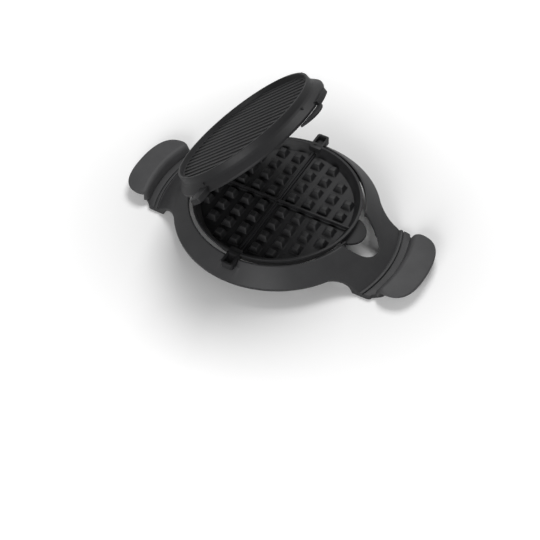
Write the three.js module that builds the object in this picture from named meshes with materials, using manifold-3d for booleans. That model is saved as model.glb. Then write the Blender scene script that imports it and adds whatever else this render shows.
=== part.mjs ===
// Waffle and sandwich iron for a round grate: two hinged cooking plates that rest in a
// carrier ring with a handle on each side.
//
// Millimetres, +Z up. The origin is on the surface under the middle of the ring. The handles
// lie along X, the hinge is at -X and the lift tabs are at +X.
// The lid stands open at lidRestAngle, as it does while the plates are being filled.

import * as THREE from 'three';
import { mergeVertices } from 'three/addons/utils/BufferGeometryUtils.js';
import Module from 'manifold-3d';

const wasm = await Module();
wasm.setup();

// Driving dimensions
const plateRadius = 113.5; // outside of a plate where the two plates meet
const plateThickness = 22.3; // one plate, over both faces
const ringGap = 4.2; // between a plate and the hole in the carrier ring
const ringWidth = 22.1; // sloping ring, from its hole to its outer edge
const neckLength = 28.7; // outer edge of the ring to the raised ridge on the handle
const bandWidth = 11.5; // raised ridge to the foot of the grip
const gripLength = 41; // foot of the grip to its tip
const gripHalfWidth = 58;
const partingHeight = 51.8; // plane where the plates meet, above the surface
const openingDrop = 4.2; // upper edge of the hole in the ring below that plane
const ringFall = 21; // from there down to the ring's outer rim

const openingRadius = plateRadius + ringGap;
const ringRadius = openingRadius + ringWidth;
const ridgeRadius = ringRadius + neckLength;
const gripRoot = ridgeRadius + bandWidth; // inner wall of the grip at its foot
const handleReach = gripRoot + gripLength;
const openingHeight = partingHeight - openingDrop;
const ringEdgeHeight = openingHeight - ringFall;

// Clearances
const seatGap = 0.3; // between pieces that rest on each other
const runningGap = 0.3; // between a pin or a screw and its hole
const sideGap = 0.6; // beside lugs and knuckles
const overrun = 2; // how far a cutting solid passes the face that it cuts
const bite = 0.6; // how far a joined solid reaches into its neighbour

// Facets
const ringFacets = 60;
const eyeFacets = 20;
const screwFacets = 16;
const curveFacets = 6;
const roundFacets = 12; // along the round side of a tab or a finger hole

// Plate section
const cavityInset = 6.5; // edge of the cooking cavity inside the plate's outside
const cavityRadius = plateRadius - cavityInset; // where the cross ribs end
const rimWidth = 3.6;
const ribDrop = 5.8; // top of the cross ribs below the parting plane
const studDrop = 4.6; // top of the studs below the parting plane
const waffleDepth = 12.2; // waffle floor below the parting plane
const cavityDraft = 4.4; // how far the cavity's wall leans in on its way down
const waffleFloorRadius = cavityRadius - cavityDraft;
const webThickness = 3.4; // metal between the waffle floor and the sandwich floor
const edgeBandHeight = 3.2; // upright edge of a plate at the parting plane
const flareInset = 7.3; // foot of the flare under that edge
const flareRadius = plateRadius - flareInset;
const flareDepth = 10.4;
const waistInset = 9.1;
const waistRadius = plateRadius - waistInset;
const waistDepth = 14;
const outerRimInset = 10.1; // outer edge of the rim round the sandwich face
const outerRimRadius = plateRadius - outerRimInset;
const outerRimWidth = 3;
const recessDraft = 1.4;
const edgeChamfer = 0.9;

// Waffle studs and cross ribs
const studsPerRow = 4;
const studPitchShare = 0.2206; // of the cavity's radius
const studPitch = cavityRadius * studPitchShare;
const firstStudShare = 0.636; // middle of the first stud, in pitches from the cross ribs
const firstStud = studPitch * firstStudShare;
const studBaseShare = 0.602;
const studBase = studPitch * studBaseShare;
const studTopShare = 0.373;
const studTop = studPitch * studTopShare;
const studReachShare = 0.885; // studs stand only within this share of the cavity radius
const ribWidth = 2.4;
const ribShelfWidth = 6.4;
const ribShelfDrop = 9.2;

// Ridges on the sandwich face
const ridgePitch = 10;
const ridgeBase = 4.2;
const ridgeCrest = 2;
const ridgeHeight = 1.4;

// Lugs that rest in the ring
const lugWidth = 17.5;
const lugLength = 21; // past the edge of the plate
const lugReach = plateRadius + lugLength;
const lugHeight = 10.5;
const lidLugHeight = 7.5;
const lugWall = 3.2;
const lugPocketShare = 0.67; // depth of a lug's pocket
const lugCorner = 3.5;

// Lift tabs, one on each plate, and the low arc wall at the root of each
const tabRadius = 23.6;
const tabLength = 16.8; // past the edge of the plate
const tabReach = plateRadius + tabLength;
const tabDrop = 9.4; // root of the lower plate's tab below the parting plane
const tabThickness = 3.8;
const tabFall = 3.4; // how much lower the tip of that tab is than its root
const lidTabRadius = 26;
const lidTabLength = 14.3;
const lidTabReach = plateRadius + lidTabLength;
const lidTabRise = 0.5; // upper face of the lid's tab above the parting plane
const lidTabThickness = 3;
const guardWidth = 3; // low arc wall
const guardGap = 0.9;
const guardSpan = THREE.MathUtils.degToRad(24);
const guardDrop = 5.4; // crest of the wall below the parting plane
const lidGuardSpan = THREE.MathUtils.degToRad(18);

// Hinge
const hingeSetback = 18; // hinge axis past the edge of the plate
const hingeReach = plateRadius + hingeSetback;
const hingeDrop = 2.6; // hinge axis below the parting plane
const eyeRadius = 7;
const pinRadius = 3.5;
const knuckleHalfWidth = 13;
const earWidth = 8;
const lidRestAngle = THREE.MathUtils.degToRad(42.6);
const pinHeadRadius = 5.6;
const pinHeadHeight = 2.4;
const washerThickness = 1.2;
const washerRadius = 6;
const clipThickness = 1.4;
const clipRadius = 5.4;
const pinTail = 1.2;
const clipGrooveDepth = 0.8;

// Stop that holds the open lid: a heel on its knuckle meets a ledge between the ears
const heelReach = 12;
const heelHalfWidth = 10;
const heelThickness = 6;
const heelLean = THREE.MathUtils.degToRad(28);
const ledgeGap = 9.5; // from the hinge axis to the edge of the ledge
const ledgeReach = hingeReach - ledgeGap;

// Carrier ring
const landWidth = 2.2; // flat top of the ring beside its hole
const collarDepth = 7.9;
const collarWall = 3.8;
const skirtDrop = 6.2; // thickness of the sloping ring, measured upright
const edgeLipDepth = 4;
const edgeLipWidth = 3.8;
const cradleDepth = 4.6;
const cradleMargin = 4.2;

// Finger hole in the ring at the tab
const holeLap = 8.7; // how far the hole reaches past the ring into the neck
const holeReach = ringRadius + holeLap;
const holeHalfWidth = 33;
const holeShoulder = 28;
const holeNose = 16;

// Neck and handle root
const neckMargin = 4.5; // how much wider the neck is than the grip, on each side
const neckHalfWidth = gripHalfWidth + neckMargin;
const neckFlareWidth = 15.5; // how much wider the neck gets where it meets the ring
const neckFlareHalfWidth = neckHalfWidth + neckFlareWidth;
const neckFlareLength = 29;
const neckCornerLength = 10.5; // along the neck's side, where it rounds towards the band
const bandTaper = 7; // how much narrower the band gets on each side on its way to the grip
const bandHalfWidth = gripHalfWidth; // where the band starts
const bandEndHalfWidth = bandHalfWidth - bandTaper; // under the grip
const neckThickness = 5;
const neckToeHeight = 5.4;
const neckBelly = 1; // how far the neck's upper face sags between the ring and the ridge
const ridgeWidth = 4;
const ridgeTop = 7.7;
const grooveWidth = 1;
const grooveFloor = 5.2;
const bandHeight = 6.9;
const bandLap = 9; // how far the band runs on under the grip
const bandReach = gripRoot + bandLap;
const footWidth = 9; // flat foot on the ring's side of the ridge

// Grips
const gripLean = 5; // how far the inner wall leans back over its height
const gripCorner = 7;
const gripFlankSetback = 12.5; // end of the grip's straight side, back from its tip
const gripNoseShare = 0.76; // roundness of the tip, as a share of the half width
const gripHeight = 15.5; // at the inner wall
const gripFall = 3.4; // how much lower the tip is than the inner wall
const gripCrown = 2.5; // how much lower the two ends of the grip are than its middle
const gripEdgeRadius = 6; // upper edge over the inner wall
const gripRimRadius = 2; // upper edge along the sides and the tip
const gripFootRadius = 0.6;
const gripRoundSteps = 4;
const gripWall = 3;
const lipThickness = 3.6; // rim that stands free for the fingers
const lipOverhang = 12; // how far it stands out past the grip's core
const gripPoints = 8; // along each curve of the outline

// Tang under each grip, and the screws that come up through it
const tangInset = 6.5; // behind the foot of the inner wall
const tangThickness = 3.4;
const screwSetback = 21.5; // back from the grip's tip
const screwX = handleReach - screwSetback;
const screwSpreadShare = 0.421; // of the grip's half width
const screwY = gripHalfWidth * screwSpreadShare;
const screwRadius = 2;
const screwHeadRadius = 3.8;
const screwHeadHeight = 1.6;
const screwBite = 8; // how deep a screw goes into the grip
const screwWasherRadius = 4.6;
const screwWasherThickness = 0.8;
const bossRadius = 5;

// Finishes
const finishes = {
  enamel: { color: 0x3c3d40, roughness: 0.45, metalness: 0.2 },
  plate: { color: 0x454649, roughness: 0.5, metalness: 0.25 },
  grip: { color: 0x4b4c4f, roughness: 0.55, metalness: 0.0 },
  steel: { color: 0x8d8f92, roughness: 0.35, metalness: 1.0 },
};

// Solids from three.js geometries
function solid(geometry) {
  const bare = geometry.index ? geometry.toNonIndexed() : geometry.clone();
  bare.deleteAttribute('normal');
  bare.deleteAttribute('uv');
  const merged = mergeVertices(bare, 1e-4);
  const vertProperties = new Float32Array(merged.attributes.position.array);
  const triVerts = sound(vertProperties, merged.index.array);
  return new wasm.Manifold(new wasm.Mesh({ numProp: 3, vertProperties, triVerts }));
}

// Drops triangles that closed up to a line and turns an inside-out mesh the right way
function sound(points, indices) {
  const kept = [];
  let volume = 0;
  const [a, b, c] = [new THREE.Vector3(), new THREE.Vector3(), new THREE.Vector3()];
  for (let i = 0; i < indices.length; i += 3) {
    const [i0, i1, i2] = [indices[i], indices[i + 1], indices[i + 2]];
    if (i0 === i1 || i1 === i2 || i2 === i0) continue;
    a.fromArray(points, i0 * 3);
    b.fromArray(points, i1 * 3);
    c.fromArray(points, i2 * 3);
    volume += a.dot(b.cross(c));
    kept.push([i0, i1, i2]);
  }
  return new Uint32Array(kept.flatMap(([i0, i1, i2]) => (volume < 0 ? [i0, i2, i1] : [i0, i1, i2])));
}

function geometryOf(manifold) {
  const mesh = manifold.getMesh();
  const geometry = new THREE.BufferGeometry();
  geometry.setAttribute('position', new THREE.BufferAttribute(new Float32Array(mesh.vertProperties), 3));
  geometry.setIndex(new THREE.BufferAttribute(new Uint32Array(mesh.triVerts), 1));
  return geometry;
}

const join = (first, ...rest) => rest.reduce((whole, piece) => whole.add(piece), first);
const cut = (first, ...rest) => rest.reduce((whole, piece) => whole.subtract(piece), first);

// Box between two corners
function block([x0, x1], [y0, y1], [z0, z1]) {
  const box = new THREE.BoxGeometry(x1 - x0, y1 - y0, z1 - z0);
  return solid(box.translate((x0 + x1) / 2, (y0 + y1) / 2, (z0 + z1) / 2));
}

// Outline of [radius, height] points turned about Z
function turned(profile, facets = ringFacets) {
  const closed = [...profile, profile[0]].map(([r, z]) => new THREE.Vector2(r, z));
  return solid(new THREE.LatheGeometry(closed, facets).rotateX(Math.PI / 2));
}

// Upright disc or ring about Z
function disc(radius, [z0, z1], facets = ringFacets) {
  const cylinder = new THREE.CylinderGeometry(radius, radius, z1 - z0, facets);
  return solid(cylinder.rotateX(Math.PI / 2).translate(0, 0, (z0 + z1) / 2));
}

// Rod along Y through the hinge axis of a plate
function rod(radius, [y0, y1], x, z, facets = eyeFacets) {
  const cylinder = new THREE.CylinderGeometry(radius, radius, y1 - y0, facets);
  return solid(cylinder.translate(x, (y0 + y1) / 2, z));
}

// Flat outline raised between two heights
function prism(shape, [z0, z1], steps = curveFacets) {
  const options = { depth: z1 - z0, bevelEnabled: false, curveSegments: steps };
  return solid(new THREE.ExtrudeGeometry(shape, options).translate(0, 0, z0));
}

// Moves every point of a geometry up or down by a function of its place
function lifted(geometry, rise) {
  const place = geometry.attributes.position;
  for (let i = 0; i < place.count; i += 1) {
    place.setZ(i, place.getZ(i) + rise(place.getX(i), place.getY(i), place.getZ(i)));
  }
  return geometry;
}

// Plate body. The waffle face is up, at z = 0, and the sandwich face is down.
function plateBody() {
  const top = -seatGap / 2;
  const floor = -waffleDepth;
  const sandwichFloor = floor - webThickness;
  const bottom = -plateThickness;
  const recess = outerRimRadius - outerRimWidth;
  const shell = turned([
    ...cavityWall(floor),
    [plateRadius - edgeChamfer, top],
    [plateRadius, top - edgeChamfer],
    [plateRadius, -edgeBandHeight],
    [flareRadius, -flareDepth],
    [waistRadius, -waistDepth],
    [outerRimRadius, bottom + edgeChamfer],
    [outerRimRadius - edgeChamfer, bottom],
    [recess + edgeChamfer / 2, bottom],
    [recess, bottom + edgeChamfer / 2],
    [recess - recessDraft, sandwichFloor],
    [0, sandwichFloor],
  ]);
  return join(shell, ...studs(floor), ...crossRibs(floor), ...ridges(sandwichFloor, recess - recessDraft));
}

// Inside of the waffle cavity from the middle of its floor up to its rim
const cavityWall = (floor) => [
  [0, floor],
  [waffleFloorRadius, floor],
  [cavityRadius, -ribDrop],
  [plateRadius - rimWidth, -seatGap / 2],
];

// Room inside the waffle cavity, to keep what stands on the outside of a plate out of it
function cavityRoom(margin = 0) {
  const top = overrun + tabDrop;
  const wall = cavityWall(-waffleDepth - margin).map(([r, z]) => [r > 0 ? r + margin : r, z]);
  return turned([...wall, [plateRadius - rimWidth + margin, top], [0, top]]);
}

// Four fields of square studs, one in each quarter
function studs(floor) {
  const height = waffleDepth - studDrop;
  const all = [];
  const halfDiagonalShare = Math.SQRT1_2;
  for (const [sx, sy] of [[1, 1], [-1, 1], [-1, -1], [1, -1]]) {
    for (let i = 0; i < studsPerRow; i += 1) {
      for (let j = 0; j < studsPerRow; j += 1) {
        const x = firstStud + i * studPitch;
        const y = firstStud + j * studPitch;
        if (Math.hypot(x, y) > cavityRadius * studReachShare) continue;
        const pyramid = new THREE.CylinderGeometry(
          studTop * halfDiagonalShare, studBase * halfDiagonalShare, height + bite, 4);
        pyramid.rotateY(Math.PI / 4).rotateX(Math.PI / 2);
        all.push(solid(pyramid.translate(sx * x, sy * y, floor + (height - bite) / 2)));
      }
    }
  }
  return all;
}

// Thin cross ribs on a wider shelf, from wall to wall
function crossRibs(floor) {
  const reach = cavityRadius + bite;
  const fin = [floor - bite, -ribDrop];
  const shelf = [floor - bite, -ribShelfDrop];
  const along = [-reach, reach];
  const half = [-ribWidth / 2, ribWidth / 2];
  const shelfHalf = [-ribShelfWidth / 2, ribShelfWidth / 2];
  const room = cavityRoom(bite);
  return [
    block(along, half, fin),
    block(half, along, fin),
    block(along, shelfHalf, shelf),
    block(shelfHalf, along, shelf),
  ].map((rib) => rib.intersect(room));
}

// Low ridges on the sandwich face, square to the hinge
function ridges(floor, radius) {
  const count = 2 * Math.floor((radius - ridgeBase) / ridgePitch) + 1;
  const section = new THREE.Shape([
    new THREE.Vector2(-ridgeBase / 2, bite),
    new THREE.Vector2(ridgeBase / 2, bite),
    new THREE.Vector2(ridgeBase / 2, 0),
    new THREE.Vector2(ridgeCrest / 2, -ridgeHeight),
    new THREE.Vector2(-ridgeCrest / 2, -ridgeHeight),
    new THREE.Vector2(-ridgeBase / 2, 0),
  ]);
  return Array.from({ length: count }, (_, k) => {
    const y = (k - (count - 1) / 2) * ridgePitch;
    const edge = Math.abs(y) + ridgeBase / 2;
    const length = 2 * Math.sqrt(radius ** 2 - edge ** 2);
    const bar = new THREE.ExtrudeGeometry(section, { depth: length, bevelEnabled: false });
    bar.rotateX(Math.PI / 2).rotateZ(Math.PI / 2).translate(-length / 2, y, floor);
    return solid(bar);
  });
}

// Rounded box outline from y0 out to y1, round at y1
function lugOutline(halfWidth, y0, y1, corner) {
  const shape = new THREE.Shape();
  shape.moveTo(-halfWidth, y0);
  shape.lineTo(halfWidth, y0);
  shape.lineTo(halfWidth, y1 - corner);
  shape.absarc(halfWidth - corner, y1 - corner, corner, 0, Math.PI / 2, false);
  shape.lineTo(-halfWidth + corner, y1);
  shape.absarc(-halfWidth + corner, y1 - corner, corner, Math.PI / 2, Math.PI, false);
  return shape;
}

// The two lugs of a plate, hollowed from the side where the plates meet
function lugs(height) {
  const wallInside = waistRadius;
  const pocketRoot = plateRadius + lugWall;
  const top = -seatGap / 2;
  const body = prism(lugOutline(lugWidth / 2, wallInside, lugReach, lugCorner), [-height, top], 3);
  const pocketShape = lugOutline(lugWidth / 2 - lugWall, pocketRoot, lugReach - lugWall, lugCorner / 2);
  const lug = cut(body, prism(pocketShape, [top - height * lugPocketShare, overrun], 2));
  return [lug, lug.rotate([0, 0, 180])];
}

// Sector of a ring about the plate's middle, at +X
function arcWall([inner, outer], span, heights) {
  const shape = new THREE.Shape();
  shape.absarc(0, 0, outer, -span / 2, span / 2, false);
  shape.absarc(0, 0, inner, span / 2, -span / 2, true);
  return prism(shape, heights);
}

const guardInside = plateRadius + guardGap;
const guardOutside = guardInside + guardWidth;

// Round tab at +X on the lower plate, falling away towards its tip
function liftTab() {
  const shape = new THREE.Shape().absarc(tabReach - tabRadius, 0, tabRadius, 0, Math.PI * 2);
  const options = { depth: tabThickness, bevelEnabled: false, curveSegments: roundFacets };
  const flat = new THREE.ExtrudeGeometry(shape, options);
  const fall = (x) => -tabFall * Math.max(0, (x - waistRadius) / (tabReach - waistRadius));
  const tab = solid(lifted(flat.translate(0, 0, -tabDrop - tabThickness), fall));
  const guard = arcWall([guardInside, guardOutside], guardSpan, [-tabDrop - tabThickness, -guardDrop]);
  return cut(join(tab, guard), disc(waistRadius, [-plateThickness, overrun]));
}

// Round tab at +X on the lid. In the lid's own frame it stands past the parting face, clear
// of the lower plate's edge, and hangs on an arc wall.
function lidTab() {
  const shape = new THREE.Shape().absarc(lidTabReach - lidTabRadius, 0, lidTabRadius, 0, Math.PI * 2);
  const tab = prism(shape, [-lidTabRise, lidTabThickness - lidTabRise], roundFacets);
  const foot = arcWall([guardInside, guardOutside], lidGuardSpan, [-guardDrop, lidTabThickness - lidTabRise]);
  const root = arcWall([waistRadius, guardOutside], lidGuardSpan, [-guardDrop, -seatGap / 2]);
  return join(cut(tab, disc(guardInside, [-plateThickness, tabDrop])), foot, root);
}

// Hinge eye with its arm, between two places along Y and at a height over the parting face
function hingeEye([y0, y1], eyeHeight) {
  const arm = block([-hingeReach, -waistRadius], [y0, y1], [armUnder, -seatGap / 2]);
  return join(arm, rod(eyeRadius, [y0, y1], -hingeReach, eyeHeight));
}

const armUnder = -(partingHeight - openingHeight - seatGap);
const earInside = knuckleHalfWidth + sideGap;
const earOutside = earInside + earWidth;
const pinHole = (height) => rod(pinRadius + runningGap, [-plateRadius, plateRadius], -hingeReach, height);

function lowerPlate() {
  const ears = [
    hingeEye([earInside, earOutside], -hingeDrop),
    hingeEye([-earOutside, -earInside], -hingeDrop),
  ];
  const ledge = block(
    [-ledgeReach, -waistRadius],
    [-earOutside, earOutside],
    [armUnder, -seatGap / 2]);
  const outside = cut(join(ledge, liftTab(), ...lugs(lugHeight), ...ears), cavityRoom());
  return cut(join(plateBody(), outside), pinHole(-hingeDrop));
}

// Heel under the lid's knuckle, seen in the lid's own frame with the parting face up
function heel() {
  const bar = new THREE.BoxGeometry(heelThickness, heelHalfWidth * 2, heelReach);
  bar.translate(0, 0, heelReach / 2).rotateY(-heelLean);
  return solid(bar.translate(-hingeReach, 0, hingeDrop));
}

// The lid is the same body turned over about X
function upperPlate() {
  const knuckle = hingeEye([-knuckleHalfWidth, knuckleHalfWidth], hingeDrop);
  const outside = cut(join(knuckle, lidTab(), ...lugs(lidLugHeight), heel()), cavityRoom());
  return cut(join(plateBody(), outside), pinHole(hingeDrop)).rotate([180, 0, 0]);
}

// Hinge pin with a round head at +Y and a groove for its clip at -Y
const washerPlace = earOutside + runningGap;
const clipPlace = washerPlace + washerThickness + runningGap;
const pinEnd = clipPlace + clipThickness + pinTail;

function hingePin() {
  const head = [clipPlace, clipPlace + pinHeadHeight];
  const pin = join(rod(pinRadius, [-pinEnd, clipPlace + bite], 0, 0), rod(pinHeadRadius, head, 0, 0));
  const groove = [-clipPlace - clipThickness - runningGap / 2, -clipPlace + runningGap / 2];
  const ringCut = cut(rod(pinRadius + overrun, groove, 0, 0), rod(pinRadius - clipGrooveDepth, groove, 0, 0));
  return cut(pin, ringCut);
}

function hingeWasher() {
  const span = [washerPlace, washerPlace + washerThickness];
  const hole = [washerPlace - overrun, washerPlace + washerThickness + overrun];
  return cut(rod(washerRadius, span, 0, 0), rod(pinRadius + runningGap, hole, 0, 0));
}

// Open ring that snaps into the pin's groove
function hingeClip() {
  const span = [-clipPlace - clipThickness, -clipPlace];
  const hole = [-clipPlace - clipThickness - overrun, -clipPlace + overrun];
  const bore = pinRadius - clipGrooveDepth + runningGap;
  const mouth = block([-clipRadius - overrun, 0], hole, [-bore, bore]);
  return cut(rod(clipRadius, span, 0, 0), rod(bore, hole, 0, 0), mouth);
}

// Height of the ring's sloping upper face at a radius
const skirtSlopeShare = (openingHeight - ringEdgeHeight) / (ringRadius - openingRadius - landWidth);
const skirtTop = (r) => openingHeight - (r - openingRadius - landWidth) * skirtSlopeShare;

function ring() {
  const collarOuter = openingRadius + collarWall;
  const lipInner = ringRadius - edgeLipWidth;
  return turned([
    [openingRadius, openingHeight],
    [openingRadius + landWidth, openingHeight],
    [ringRadius, ringEdgeHeight],
    [ringRadius, ringEdgeHeight - edgeLipDepth],
    [lipInner, ringEdgeHeight - edgeLipDepth],
    [lipInner, skirtTop(lipInner) - skirtDrop],
    [collarOuter, skirtTop(collarOuter) - skirtDrop],
    [openingRadius, openingHeight - collarDepth],
  ]);
}

// Outline of one neck and its band, flaring into the ring
function neckOutline() {
  const root = Math.sqrt(openingRadius ** 2 - neckFlareHalfWidth ** 2);
  const flareStart = Math.sqrt(ringRadius ** 2 - neckFlareHalfWidth ** 2);
  const flareEnd = flareStart + neckFlareLength;
  const flareMiddle = flareStart + neckFlareLength / 2;
  const bandStart = ridgeRadius + ridgeWidth / 2;
  const cornerStart = bandStart - neckCornerLength;
  const half = [
    [root, neckFlareHalfWidth],
    ...bend([flareStart, neckFlareHalfWidth], [flareMiddle, neckHalfWidth], [flareEnd, neckHalfWidth]),
    ...bend([cornerStart, neckHalfWidth], [bandStart, neckHalfWidth], [bandStart, bandHalfWidth]),
    [gripRoot, bandEndHalfWidth],
    [bandReach, bandEndHalfWidth - bandLap],
  ];
  const points = [...half, ...half.map(([x, y]) => [x, -y]).reverse()];
  return new THREE.Shape(points.map(([x, y]) => new THREE.Vector2(x, y)));
}

// Points along a curve from one point to another, pulled towards a third
function bend(from, towards, to) {
  const [a, b, c] = [from, towards, to].map(([x, y]) => new THREE.Vector2(x, y));
  return new THREE.QuadraticBezierCurve(a, b, c).getPoints(curveFacets).map((p) => [p.x, p.y]);
}

// Neck, ridge, groove and band of one handle, turned about Z
function neckSection() {
  const inner = openingRadius + collarWall;
  const foot = ridgeRadius - ridgeWidth / 2 - footWidth;
  const ridgeIn = ridgeRadius - ridgeWidth / 2;
  const ridgeOut = ridgeRadius + ridgeWidth / 2;
  const middle = (ringRadius + ridgeIn) / 2;
  const middleTop = (ringEdgeHeight + neckToeHeight) / 2 - neckBelly;
  return turned([
    [inner, skirtTop(inner) - bite],
    [ringRadius, ringEdgeHeight - bite / 2],
    [middle, middleTop],
    [ridgeIn - edgeChamfer, neckToeHeight],
    [ridgeIn, ridgeTop - edgeChamfer],
    [ridgeIn + edgeChamfer, ridgeTop],
    [ridgeOut - edgeChamfer, ridgeTop],
    [ridgeOut, ridgeTop - edgeChamfer],
    [ridgeOut, grooveFloor],
    [ridgeOut + grooveWidth, grooveFloor],
    [ridgeOut + grooveWidth, bandHeight],
    [bandReach, bandHeight],
    [bandReach, 0],
    [foot, 0],
    [middle, middleTop - neckThickness],
    [inner, skirtTop(inner) - skirtDrop + bite],
  ]);
}

// Tang that the grip stands on, with the two screw holes
function tang() {
  const heights = [bandHeight - tangThickness, bandHeight];
  const plate = prism(gripOutline(lipOverhang, 0, tangInset), heights, gripPoints);
  const through = [0, bandHeight + overrun];
  const hole = disc(screwRadius + runningGap, through, screwFacets);
  return [plate, screwPlaces().map(([x, y]) => hole.translate([x, y, 0]))];
}

const screwPlaces = () => [[screwX, -screwY], [screwX, screwY]];

// Egg-shaped finger hole in front of the lift tab
function fingerHole() {
  const start = openingRadius - collarWall;
  const shape = new THREE.Shape();
  shape.moveTo(start, -holeHalfWidth);
  shape.bezierCurveTo((start + holeReach) / 2, -holeShoulder, holeReach, -holeNose, holeReach, 0);
  shape.bezierCurveTo(holeReach, holeNose, (start + holeReach) / 2, holeShoulder, start, holeHalfWidth);
  return prism(shape, [0, openingHeight + overrun], roundFacets);
}

function carrier() {
  const under = [0, openingHeight];
  const neck = neckSection().intersect(prism(neckOutline(), under));
  const [tangPlate, screwHoles] = tang();
  const handle = cut(join(neck, tangPlate), ...screwHoles);
  const lugFloor = partingHeight - lugHeight - seatGap;
  const cradleHalf = lugWidth / 2 + sideGap + cradleMargin;
  const cradle = block(
    [-cradleHalf, cradleHalf],
    [openingRadius - bite, openingRadius + collarWall + cradleMargin],
    [lugFloor - cradleDepth, lugFloor + bite]);
  const notch = block(
    [-lugWidth / 2 - sideGap, lugWidth / 2 + sideGap],
    [openingRadius - collarWall, lugReach + overrun],
    [lugFloor, openingHeight + overrun]);
  const bore = disc(openingRadius, [0, openingHeight + overrun]);
  const hole = fingerHole();
  const turn = (piece) => piece.rotate([0, 0, 180]);
  const whole = join(ring(), handle, turn(handle), cradle, turn(cradle));
  return cut(whole, bore, notch, turn(notch), hole, turn(hole));
}

// Outline of a grip: an arc about the ring's middle, then a full curve round the tip. The arc
// and the rest may be inset by different amounts.
function gripOutline(inset = 0, lean = 0, arcInset = inset) {
  const root = gripRoot + lean + arcInset;
  const half = gripHalfWidth - inset;
  const tip = handleReach - inset;
  const flank = handleReach - gripFlankSetback;
  const nose = gripHalfWidth * gripNoseShare - inset;
  const cornerX = Math.sqrt(root ** 2 - (half - gripCorner) ** 2);
  const turn = Math.atan2(half - gripCorner, cornerX);
  const pull = cornerX - gripCorner * Math.tan(turn);
  const side = cornerX + gripCorner;
  const shape = new THREE.Shape();
  shape.absarc(0, 0, root, turn, -turn, true);
  shape.quadraticCurveTo(pull, -half, side, -half);
  shape.bezierCurveTo(flank, -half, tip, -nose, tip, 0);
  shape.bezierCurveTo(tip, nose, flank, half, side, half);
  shape.quadraticCurveTo(pull, half, cornerX, half - gripCorner);
  return shape;
}

// Skin through outlines of equal point count, closed at both ends
function loft(outlines) {
  const count = outlines[0].length;
  const positions = outlines.flat().flatMap((p) => [p.x, p.y, p.z]);
  const indices = [];
  for (let k = 0; k + 1 < outlines.length; k += 1) {
    for (let i = 0; i < count; i += 1) {
      const j = (i + 1) % count;
      const [a, b] = [k * count + i, k * count + j];
      indices.push(a, b, b + count, a, b + count, a + count);
    }
  }
  const cap = THREE.ShapeUtils.triangulateShape(outlines[0].map((p) => new THREE.Vector2(p.x, p.y)), []);
  const last = (outlines.length - 1) * count;
  cap.forEach(([a, b, c]) => indices.push(c, b, a, last + a, last + b, last + c));
  const geometry = new THREE.BufferGeometry();
  geometry.setAttribute('position', new THREE.BufferAttribute(new Float32Array(positions), 3));
  geometry.setIndex(indices);
  return geometry;
}

// One level of a grip: its outline at a height, lower towards the tip and the ends
function gripLevel([inset, arcInset], heightShare, height) {
  const points = gripOutline(inset, gripLean * heightShare, arcInset).getPoints(gripPoints);
  points.pop();
  return points.map((p) => {
    const along = Math.max(0, (p.x - gripRoot) / (handleReach - gripRoot));
    const drop = gripFall * along + gripCrown * (p.y / gripHalfWidth) ** 2;
    return new THREE.Vector3(p.x, p.y, gripFoot + height - drop * heightShare);
  });
}

const gripFoot = bandHeight + seatGap;

// Inset of a rounded upper edge at a distance below the top
const roundInset = (radius, below) => radius - Math.sqrt(radius ** 2 - Math.max(0, radius - below) ** 2);

// Space under the rim, all round the core and behind the inner wall
function fingerRoom() {
  const under = gripHeight - lipThickness;
  const around = [-overrun, -overrun];
  const whole = solid(loft([gripLevel(around, 0, -overrun), gripLevel(around, 1, under)]));
  const core = prism(gripOutline(lipOverhang, 0, 0), [0, gripFoot + gripHeight], gripPoints);
  return cut(whole, core, disc(gripRoot + gripLean + gripWall, [0, gripFoot + gripHeight]));
}

// Grip: an inner wall, a rim and a hollow core that is open underneath, with two screw bosses
function grip() {
  const foot = [gripFootRadius, gripFootRadius];
  const levels = [gripLevel(foot, 0, 0), gripLevel([0, 0], 0, gripFootRadius)];
  for (let k = 0; k <= gripRoundSteps; k += 1) {
    const angle = (k / gripRoundSteps) * (Math.PI / 2);
    const below = gripEdgeRadius * (1 - Math.sin(angle));
    const insets = [roundInset(gripRimRadius, below), roundInset(gripEdgeRadius, below)];
    const height = gripHeight - below;
    levels.push(gripLevel(insets, height / gripHeight, height));
  }
  const shell = cut(solid(loft(levels)), fingerRoom());
  const ceiling = gripFoot + gripHeight - gripFall - gripCrown - gripWall;
  const inside = gripOutline(lipOverhang + gripWall, gripLean, gripWall);
  const cavity = prism(inside, [0, ceiling], gripPoints);
  const boss = disc(bossRadius, [gripFoot, ceiling + bite], screwFacets);
  const hole = disc(screwRadius + runningGap, [0, gripFoot + screwBite + runningGap], screwFacets);
  const atScrews = (piece) => screwPlaces().map(([x, y]) => piece.translate([x, y, 0]));
  return cut(join(cut(shell, cavity), ...atScrews(boss)), ...atScrews(hole));
}

const washerTop = bandHeight - tangThickness - seatGap;

function gripWasher() {
  const span = [washerTop - screwWasherThickness, washerTop];
  const hole = disc(screwRadius + runningGap, [0, bandHeight], screwFacets);
  return cut(disc(screwWasherRadius, span, screwFacets), hole);
}

// Screw that comes up through washer and tang into the grip
function gripScrew() {
  const headTop = washerTop - screwWasherThickness - seatGap;
  const head = disc(screwHeadRadius, [headTop - screwHeadHeight, headTop], screwFacets);
  const shank = disc(screwRadius, [headTop - bite, gripFoot + screwBite], screwFacets);
  return join(head, shank);
}

// Scene graph
const iron = new THREE.Group();

function add(parent, name, manifold, finish) {
  const mesh = new THREE.Mesh(geometryOf(manifold), new THREE.MeshStandardMaterial(finishes[finish]));
  mesh.name = name;
  parent.add(mesh);
  return mesh;
}

add(iron, 'carrier_ring', carrier(), 'enamel');

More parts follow.
